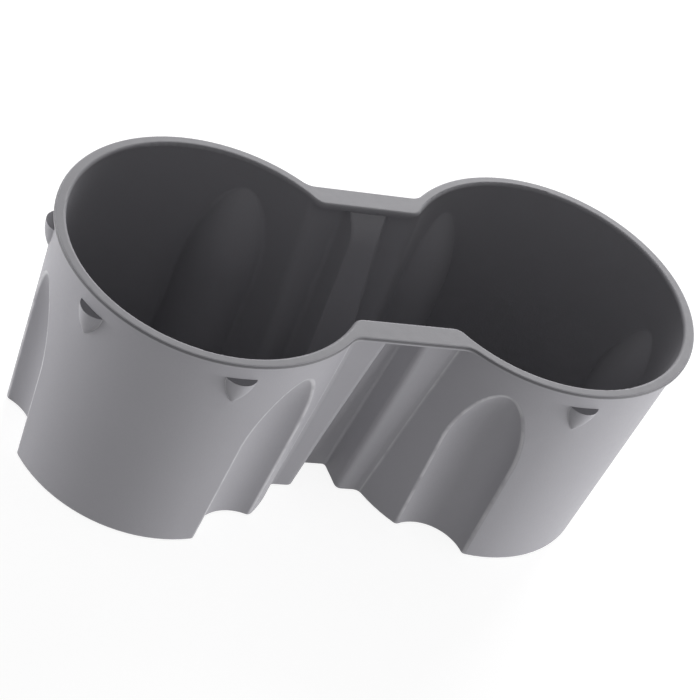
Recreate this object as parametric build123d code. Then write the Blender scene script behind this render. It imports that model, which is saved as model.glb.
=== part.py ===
from build123d import *
from math import atan2, degrees
import os

os.makedirs("parts", exist_ok=True)

# Drop-in cup holder insert for a car console, moulded in one piece from a soft rubbery plastic.
# Frame: +Z up, +X along the two wells, origin at the middle of the floor's underside. Sizes in mm.

# Driving sizes
height = 74.0               # floor underside to rim top
well_pitch = 100.0          # between the two well axes
mouth_radius = 41.5         # inside of a well at the rim
base_radius = 39.5          # outside of a well at the floor
wall = 1.9
floor_thickness = 2.0
base_edge_round = 0.8       # outside, where the walls meet the floor
floor_corner_round = 1.2    # inside
rim_thickness = 1.6
rim_overhang = 1.4          # rim edge beyond the outside of the wall
rim_edge_round = 0.6
mouth_edge_round = 1.0
neck_mouth_width = 45.4     # rim opening between the wells, front to back
neck_rim_width = 60.6       # rim edge to rim edge across the neck
neck_base_width = 32.0      # outside of the neck at the floor, front to back
neck_overhang = 3.7         # rim edge beyond the neck's wall
neck_rim_round = 5.0        # corner where the rim edge turns from a well to the neck
neck_mouth_round = 4.0
neck_corner_round = 2.5     # where the outside of a well turns into the neck's wall

# Petal flutes pressed into each well's wall to grip the console
side_flute_angle = 118.0    # about the well axis, from the end that points away from the neck
flute_radius = 12.7
flute_standoff = 5.9        # flute axis beyond the outside of the wall
end_flute_drop = 43.3       # rim top down to where an end flute starts to close to its tip
side_flute_drop = 36.7
flute_tip_arc = 56.0        # arc that closes a flute to its tip
flute_ridge_round = 1.5
bump_foot_round = 1.6       # foot of the bumps and ribs that the flutes and grooves make inside

# Groove down the front and the back of the neck
groove_base_width = 11.0    # across the back of the groove
groove_top_width = 5.0
groove_base_flare = 0.14    # widening per side for each mm out of the back
groove_top_flare = 0.5
groove_base_depth = 9.4     # from the neck's wall to the back of the groove
groove_top_depth = 5.8
groove_roof_depth = 1.8     # what the sloping roof leaves of the groove at the rim
groove_roof_angle = 49.0    # from level
groove_roof_round = 12.0    # where the roof bends down into the back of the groove
groove_corner_round = 0.9
groove_lip_round = 2.0

# Retaining barbs under the rim
barb_width = 9.0
barb_height = 9.0
barb_proud = 2.5
barb_drop = 6.4             # rim top to the barb's flat top
barb_root = 0.6             # how far the barb is sunk into the wall
end_barb_angles = (-31.0, 14.5)     # beside the end flute of the left-hand well

# Derived sizes
wall_top = height - rim_thickness
top_radius = mouth_radius + wall
rim_radius = top_radius + rim_overhang
neck_top_width = neck_rim_width - 2 * neck_overhang
well_x = well_pitch / 2
end_flute_straight = height - end_flute_drop
side_flute_straight = height - side_flute_drop
draft = degrees(atan2(top_radius - base_radius, wall_top))
neck_reach = well_pitch / 2     # length of the neck block, ending inside both wells


def drafted_wells(base_r, top_r, z_base, z_top):
    """The two tapered wells as solid plugs, standing on z_base."""
    tall = z_top - z_base
    plugs = Part()
    for side in (-1, 1):
        plugs += Pos(side * well_x, 0, z_base + tall / 2) * Cone(base_r, top_r, tall)
    return plugs


def leaning_neck(base_width, top_width, z_base, z_top):
    """Block between the wells whose front and back lean in towards the floor."""
    section = Plane.YZ * Polygon(
        (-base_width / 2, z_base),
        (base_width / 2, z_base),
        (top_width / 2, z_top),
        (-top_width / 2, z_top),
        align=None,
    )
    return extrude(section, neck_reach / 2, both=True)


def neck_corners(body):
    """The four upright edges where the neck block meets the wells."""
    uprights = body.edges().filter_by(lambda edge: edge.bounding_box().size.Z > height / 2)
    return [edge for edge in uprights if abs(edge.center().X) < neck_reach / 2]


def petal(straight, grow):
    """One flute as a solid beside the wall: a round bar that closes to a tip above straight."""
    radius = flute_radius + grow
    arc = flute_tip_arc + grow
    arc_centre = radius - arc
    tip = straight + (arc**2 - arc_centre**2) ** 0.5
    middle = straight + arc * 0.35
    middle_radius = arc_centre + (arc**2 - (middle - straight) ** 2) ** 0.5
    foot = -floor_thickness
    outline = Polyline((0, tip), (0, foot), (radius, foot), (radius, straight))
    outline += ThreePointArc((radius, straight), (middle_radius, middle), (0, tip))
    bar = revolve(Plane.XZ * make_face(outline), Axis.Z)
    return Pos(base_radius + flute_standoff, 0, 0) * Rot(0, draft, 0) * bar


def flutes(grow):
    """All the flutes; grow thickens them evenly, for the bumps inside the wells."""
    end = petal(end_flute_straight, grow)
    side = petal(side_flute_straight, grow)
    group = Part()
    for well_place in (Pos(well_x, 0, 0), Pos(-well_x, 0, 0) * Rot(0, 0, 180)):
        group += well_place * end
        group += well_place * Rot(0, 0, side_flute_angle) * side
        group += well_place * Rot(0, 0, -side_flute_angle) * side
    return group


def groove_section(z, grow):
    """Plan section of the front groove at height z, open towards the front."""
    share = z / wall_top
    back_base = neck_base_width / 2 - groove_base_depth
    back_top = neck_top_width / 2 - groove_top_depth
    back = back_base + (back_top - back_base) * share
    half_back = (groove_base_width + (groove_top_width - groove_base_width) * share) / 2
    flare = groove_base_flare + (groove_top_flare - groove_base_flare) * share
    half_front = half_back + flare * neck_rim_width
    section = Polygon(
        (-half_back, -back),
        (half_back, -back),
        (half_front, -back - neck_rim_width),
        (-half_front, -back - neck_rim_width),
        align=None,
    )
    if grow:
        section = offset(section, grow, kind=Kind.INTERSECTION)
    return Pos(0, 0, z) * section


def back_edges(bar):
    """Edges round the back and the roof of a front groove's bar."""
    return bar.edges().filter_by(lambda edge: edge.center().Y > -neck_rim_width / 2)


def neck_grooves(grow):
    """The front and back grooves of the neck; grow thickens them evenly, for the ribs inside."""
    bar = loft([groove_section(z, grow) for z in (-floor_thickness, height)], ruled=True)
    above = Box(well_pitch, well_pitch, well_pitch, align=(Align.CENTER, Align.CENTER, Align.MIN))
    roof_place = Pos(0, groove_roof_depth - neck_top_width / 2, wall_top) * Rot(-groove_roof_angle, 0, 0)
    bar -= roof_place * Pos(0, 0, grow) * above
    bend = [e for e in back_edges(bar) if abs(e.center().X) < 0.01 and 0 < e.center().Z < wall_top]
    bar = fillet(bend, groove_roof_round + grow)
    corners = [e for e in back_edges(bar) if e.bounding_box().size.Z > 1]
    bar = fillet(corners, groove_corner_round)
    return bar + Rot(0, 0, 180) * bar


def press_in(body, tool, ridge_round):
    """Sink the tool's shape into the body and round the ridges it leaves on the walls."""
    pressed = body - tool
    ridges = [e for e in new_edges(body, tool, combined=pressed) if e.bounding_box().size.Z > 1]
    return fillet(ridges, ridge_round)


def barb_section(down):
    """Plan section of a barb at a share of its height below its flat top."""
    z = height - barb_drop - barb_height * down
    wall_here = base_radius + (top_radius - base_radius) * z / wall_top
    root = wall_here - barb_root
    share = 1 - down**2
    half = barb_width / 2 * share
    front = ThreePointArc((root, -half), (wall_here + barb_proud * share, 0), (root, half))
    back = Line((root, half), (root, -half))
    return (Pos(0, 0, z) * make_face(front + back)).face()


def barb(well_side, angle):
    """Shield-shaped wedge with a flat top that closes to a tip on the wall below."""
    wedge = loft([barb_section(down) for down in (0, 0.35, 0.7, 0.96)])
    return Pos(well_side * well_x, 0, 0) * Rot(0, 0, angle) * wedge


def rim_outline(radius, neck_width, corner):
    """Two circles joined by a straight neck, with the four inward corners rounded."""
    shape = Rectangle(well_pitch, neck_width)
    for side in (-1, 1):
        shape += Pos(side * well_x, 0) * Circle(radius)
    corners = [v for v in shape.vertices() if abs(abs(v.Y) - neck_width / 2) < 0.01]
    return fillet(corners, corner)


# Outside of the walls
shell = drafted_wells(base_radius, top_radius, 0, wall_top)
shell += leaning_neck(neck_base_width, neck_top_width, 0, wall_top)
shell = fillet(neck_corners(shell), neck_corner_round)
shell = press_in(shell, flutes(0), flute_ridge_round)
shell = press_in(shell, neck_grooves(0), groove_lip_round)
shell = fillet(shell.faces().sort_by(Axis.Z)[0].edges(), base_edge_round)

# Barbs: front and back of both wells, and a pair at the end of the left-hand well
barb_places = [(-1, -90), (-1, 90), (1, -90), (1, 90)]
barb_places += [(-1, 180 - angle) for angle in end_barb_angles]
for well_side, angle in barb_places:
    shell += barb(well_side, angle)

# Inside of the walls: the same shapes, one wall thickness in
inner_top = top_radius - wall
inner_base = base_radius - wall
cavity = drafted_wells(inner_base, inner_top, floor_thickness, wall_top)
cavity += leaning_neck(neck_base_width - 2 * wall, neck_top_width - 2 * wall, floor_thickness, wall_top)
cavity = fillet(neck_corners(cavity), neck_corner_round + wall)
cavity = press_in(cavity, flutes(wall), bump_foot_round)
cavity = press_in(cavity, neck_grooves(wall), bump_foot_round)
cavity = fillet(cavity.faces().sort_by(Axis.Z)[0].edges(), floor_corner_round)

# Rim plate
rim = extrude(rim_outline(rim_radius, neck_rim_width, neck_rim_round), rim_thickness)
mouth = extrude(rim_outline(mouth_radius, neck_mouth_width, neck_mouth_round), rim_thickness)
outer_edges = rim.faces().sort_by(Axis.Z)[0].edges() + rim.faces().sort_by(Axis.Z)[-1].edges()
rim = fillet(outer_edges, rim_edge_round) - mouth
mouth_edges = rim.faces().sort_by(Axis.Z)[-1].inner_wires()[0].edges()
rim = Pos(0, 0, wall_top) * fillet(mouth_edges, mouth_edge_round)

cup_holder_insert = shell - cavity + rim
export_step(cup_holder_insert, "parts/cup_holder_insert.step")
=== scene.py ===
import math

import bpy
from mathutils import Euler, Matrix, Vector

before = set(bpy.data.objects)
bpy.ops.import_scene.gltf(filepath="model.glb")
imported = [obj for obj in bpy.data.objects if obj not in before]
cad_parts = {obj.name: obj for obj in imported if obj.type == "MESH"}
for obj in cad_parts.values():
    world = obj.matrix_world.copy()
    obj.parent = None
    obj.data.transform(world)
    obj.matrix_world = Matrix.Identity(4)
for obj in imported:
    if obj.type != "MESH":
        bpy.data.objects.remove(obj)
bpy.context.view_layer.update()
scene = bpy.context.scene
scene.view_settings.view_transform = "Standard"

# The insert is one moulding in soft thermoplastic rubber: two wells, the neck between them, a rim flange,
# grip flutes and retaining barbs. It comes out of a mould with a fine satin grain, drops into the console
# and is held there by its own rim and barbs, so nothing is fixed to it.
WELL_X = 0.050
BASE_RADIUS = 0.0395
TOP_RADIUS = 0.0434
RIM_UNDERSIDE = 0.0724

# Four values say where a mark starts, is full, stops being full and ends; two, where it starts and is full.
RIDGE_OFF_WALL = (-0.0007, -0.0003, 0.0001, 0.0003)     # from the plain wall, outwards
RIDGE_FACING = (0.1, 0.4, 0.94, 0.992)                  # 1 faces squarely away from the well's axis
# Height and facing of the painted shade line round the rim's outer edge.
RIM_SHADE_HEIGHT = (0.0732, 0.0733, 0.0738, 0.0739)
RIM_SHADE_FACING = (0.1, 0.35)
# Where along the ridges the painted highlight shows, set by noise.
RIDGE_PATCHES = (0.2, 0.6)

# Grains are cycles to the metre, and how many finer layers lie on top.
CLOUD_GRAIN = (28, 3)
RIDGE_PATCH_GRAIN = (160, 3)
COARSE_GRAIN = (260, 2)
SHEEN_GRAIN = (420, 3)
SPECKLE_GRAIN = (1500, 2)
FINE_GRAIN = (1900, 3)

GREY = (0.268, 0.264, 0.283, 1)
PALE_GREY = (0.300, 0.296, 0.316, 1)
# Painted highlight colour for the ridges beside the flutes.
RIDGE_HIGHLIGHT_GREY = (0.44, 0.435, 0.455, 1)
# Painted shade colour for the line round the rim's outer edge.
RIM_SHADE_GREY = (0.06, 0.06, 0.064, 1)
CLOUD_SHARE = 0.6
SPECKLE_SHARE = 0.4
RIDGE_HIGHLIGHT_SHARE = 0.8
RIM_SHADE_SHARE = 0.78
BUMP_STRENGTH = 0.12
BUMP_DEPTH = 0.0002
COARSE_SHARE = 0.8
ROUGHNESS = 0.48
ROUGHNESS_SPREAD = 0.14
RIDGE_POLISH = 0.1
SPECULAR_LEVEL = 0.25

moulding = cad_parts["cup_holder_insert"]
soft_grey = bpy.data.materials.new("soft_grey_moulding_grained")
soft_grey.use_nodes = True
nodes = soft_grey.node_tree.nodes
links = soft_grey.node_tree.links
nodes.clear()


def add_node(kind, **settings):
    """A node of the given kind with its settings made."""
    node = nodes.new(kind)
    for name, value in settings.items():
        setattr(node, name, value)
    return node


def feed(socket, value):
    """Links an output to an input socket, or sets the input to a plain value."""
    if isinstance(value, bpy.types.NodeSocket):
        links.new(value, socket)
    else:
        socket.default_value = value


def arithmetic(operation, *values):
    """One step of arithmetic on numbers or sockets."""
    node = add_node("ShaderNodeMath", operation=operation)
    for socket, value in zip(node.inputs, values):
        feed(socket, value)
    return node.outputs[0]


def ramp(value, low, high):
    """Rises from 0 at low to 1 at high, and is held there; low may be the greater."""
    node = add_node("ShaderNodeMapRange", interpolation_type="SMOOTHSTEP", clamp=True)
    feed(node.inputs["Value"], value)
    feed(node.inputs["From Min"], low)
    feed(node.inputs["From Max"], high)
    return node.outputs["Result"]


def band(value, start, full, full_end, end):
    """1 inside the band, fading to 0 at its start and its end."""
    return arithmetic("MULTIPLY", ramp(value, start, full), ramp(value, end, full_end))


def blend(share, first, second):
    """A colour between two others."""
    node = add_node("ShaderNodeMix", data_type="RGBA")
    for name, value in (("Factor_Float", share), ("A_Color", first), ("B_Color", second)):
        feed(next(s for s in node.inputs if s.identifier == name), value)
    return next(s for s in node.outputs if s.identifier == "Result_Color")


def grain(scale, detail):
    """Noise over the moulding."""
    node = add_node("ShaderNodeTexNoise", noise_dimensions="3D")
    feed(node.inputs["Vector"], place.outputs["Object"])
    feed(node.inputs["Scale"], scale)
    feed(node.inputs["Detail"], detail)
    return node.outputs["Fac"]


place = add_node("ShaderNodeTexCoord")
at = add_node("ShaderNodeSeparateXYZ")
feed(at.inputs[0], place.outputs["Object"])

# How far out each point lies from its own well's axis, and how squarely it faces away from it.
own_axis = arithmetic("MULTIPLY", arithmetic("SIGN", at.outputs["X"]), WELL_X)
from_axis = add_node("ShaderNodeCombineXYZ")
feed(from_axis.inputs["X"], arithmetic("SUBTRACT", at.outputs["X"], own_axis))
feed(from_axis.inputs["Y"], at.outputs["Y"])
reach = add_node("ShaderNodeVectorMath", operation="LENGTH")
feed(reach.inputs[0], from_axis.outputs[0])
outward = add_node("ShaderNodeVectorMath", operation="NORMALIZE")
feed(outward.inputs[0], from_axis.outputs[0])
facing = add_node("ShaderNodeVectorMath", operation="DOT_PRODUCT")
feed(facing.inputs[0], outward.outputs["Vector"])
feed(facing.inputs[1], place.outputs["Normal"])
faces_out = facing.outputs["Value"]

# The ridges beside the flutes and the base edge carry a painted highlight: they are painted paler, in
# patches, and are a little smoother.
taper = (TOP_RADIUS - BASE_RADIUS) / RIM_UNDERSIDE
wall_reach = arithmetic("ADD", arithmetic("MULTIPLY", at.outputs["Z"], taper), BASE_RADIUS)
off_wall = arithmetic("SUBTRACT", reach.outputs["Value"], wall_reach)
ridge = arithmetic("MULTIPLY", band(off_wall, *RIDGE_OFF_WALL), band(faces_out, *RIDGE_FACING))
ridge_highlight = arithmetic("MULTIPLY", ridge, ramp(grain(*RIDGE_PATCH_GRAIN), *RIDGE_PATCHES))

# A fine dark line of painted shade runs round the outer edge of the rim.
rim_edge_shade = arithmetic("MULTIPLY", band(at.outputs["Z"], *RIM_SHADE_HEIGHT), ramp(faces_out, *RIM_SHADE_FACING))

clouds = arithmetic("MULTIPLY", grain(*CLOUD_GRAIN), CLOUD_SHARE)
speckle = arithmetic("MULTIPLY", grain(*SPECKLE_GRAIN), SPECKLE_SHARE)
mottled = blend(arithmetic("ADD", clouds, speckle), GREY, PALE_GREY)
# Painted highlight: the ridges are blended towards the paler grey.
highlighted = blend(arithmetic("MULTIPLY", ridge_highlight, RIDGE_HIGHLIGHT_SHARE), mottled, RIDGE_HIGHLIGHT_GREY)
# Painted shade: the line round the rim's outer edge is blended towards near black.
grey = blend(arithmetic("MULTIPLY", rim_edge_shade, RIM_SHADE_SHARE), highlighted, RIM_SHADE_GREY)

coarse = arithmetic("MULTIPLY", grain(*COARSE_GRAIN), COARSE_SHARE)
bump = add_node("ShaderNodeBump")
feed(bump.inputs["Strength"], BUMP_STRENGTH)
feed(bump.inputs["Distance"], BUMP_DEPTH)
feed(bump.inputs["Height"], arithmetic("ADD", grain(*FINE_GRAIN), coarse))

uneven = arithmetic("ADD", arithmetic("MULTIPLY", grain(*SHEEN_GRAIN), ROUGHNESS_SPREAD), ROUGHNESS)
polish = arithmetic("MULTIPLY", ridge_highlight, RIDGE_POLISH)
rubber = add_node("ShaderNodeBsdfPrincipled")
feed(rubber.inputs["Base Color"], grey)
feed(rubber.inputs["Roughness"], arithmetic("SUBTRACT", uneven, polish))
feed(rubber.inputs["Normal"], bump.outputs["Normal"])
rubber.inputs["Specular IOR Level"].default_value = SPECULAR_LEVEL
skin = add_node("ShaderNodeOutputMaterial")
feed(skin.inputs["Surface"], rubber.outputs["BSDF"])
moulding.material_slots[0].link = "OBJECT"
moulding.material_slots[0].material = soft_grey

# The floor is a plain pale sheet that the insert stands on. The camera sees it nearly white, and the
# insert's shadow still falls on it.
FLOOR_RADIUS = 6.0
FLOOR_CORNERS = 96
FLOOR_HEIGHT = -0.0003
FLOOR_GREY = (0.30, 0.30, 0.30, 1)
FLOOR_GLOW = 0.87

bpy.ops.object.select_all(action="DESELECT")
bpy.ops.mesh.primitive_circle_add(vertices=FLOOR_CORNERS, radius=FLOOR_RADIUS, fill_type="NGON",
                                  location=(0, 0, FLOOR_HEIGHT))
floor = bpy.context.object
floor.name = "floor"
pale = bpy.data.materials.new("pale_floor")
pale.use_nodes = True
nodes = pale.node_tree.nodes
links = pale.node_tree.links
nodes.clear()


def seen_rays():
    """1 for rays from the camera, a reflection or something clear, 0 for those that only carry light."""
    rays = add_node("ShaderNodeLightPath")
    mirrored = arithmetic("MAXIMUM", rays.outputs["Is Glossy Ray"], rays.outputs["Is Transmission Ray"])
    return arithmetic("MAXIMUM", rays.outputs["Is Camera Ray"], mirrored)


sheet = add_node("ShaderNodeBsdfDiffuse")
feed(sheet.inputs["Color"], FLOOR_GREY)
glow = add_node("ShaderNodeEmission")
feed(glow.inputs["Strength"], arithmetic("MULTIPLY", seen_rays(), FLOOR_GLOW))
lit_sheet = add_node("ShaderNodeAddShader")
feed(lit_sheet.inputs[0], sheet.outputs[0])
feed(lit_sheet.inputs[1], glow.outputs[0])
floor_surface = add_node("ShaderNodeOutputMaterial")
feed(floor_surface.inputs["Surface"], lit_sheet.outputs[0])
floor.data.materials.append(pale)

# Soft studio light: an even room, two long low panels to the right and left that brighten the sides of
# the round walls, a weak one in front, and a large one high behind that lights the rim and leaves the
# wells dim.
ROOM_LIGHT = 0.30
PANEL_DISTANCE = 0.9
LOW_PANEL = (0.80, 0.07)
HIGH_PANEL = (0.70, 0.70)
TARGET = Vector((0, 0, 0.037))

room = bpy.data.worlds.new("white_room")
scene.world = room
room.use_nodes = True
nodes = room.node_tree.nodes
links = room.node_tree.links
nodes.clear()
walls = add_node("ShaderNodeBackground")
feed(walls.inputs["Strength"], arithmetic("MAXIMUM", seen_rays(), ROOM_LIGHT))
room_surface = add_node("ShaderNodeOutputWorld")
feed(room_surface.inputs["Surface"], walls.outputs[0])

for name, bearing, elevation, (width, height), watts in (
        ("right_panel", -30, 0, LOW_PANEL, 9.4), ("left_panel", 147, 0, LOW_PANEL, 9.0),
        ("front_panel", -115, 0, LOW_PANEL, 2.4), ("back_panel", 60, 30, HIGH_PANEL, 9.2)):
    lamp = bpy.data.lights.new(name, "AREA")
    lamp.shape = "RECTANGLE"
    lamp.size = width
    lamp.size_y = height
    lamp.energy = watts
    panel = bpy.data.objects.new(name, lamp)
    scene.collection.objects.link(panel)
    turn = math.radians(bearing)
    rise = math.radians(elevation)
    away = Vector((math.cos(turn) * math.cos(rise), math.sin(turn) * math.cos(rise), math.sin(rise)))
    panel.location = TARGET + away * PANEL_DISTANCE
    panel.rotation_euler = away.to_track_quat("Z", "Y").to_euler()

# The camera stands in front and to the left with a long lens, looks down into the wells and is rolled,
# as in the photograph.
SENSOR_MM = 36.0
LENS_MM = 121.42
CAMERA_PLACE = (-0.26426, -0.44757, 0.46156)
CAMERA_TURN = (0.83903, -0.34378, -0.24024)

lens = bpy.data.cameras.new("camera")
lens.sensor_width = SENSOR_MM
lens.lens = LENS_MM
camera = bpy.data.objects.new("camera", lens)
scene.collection.objects.link(camera)
camera.location = CAMERA_PLACE
camera.rotation_euler = Euler(CAMERA_TURN)
scene.camera = camera
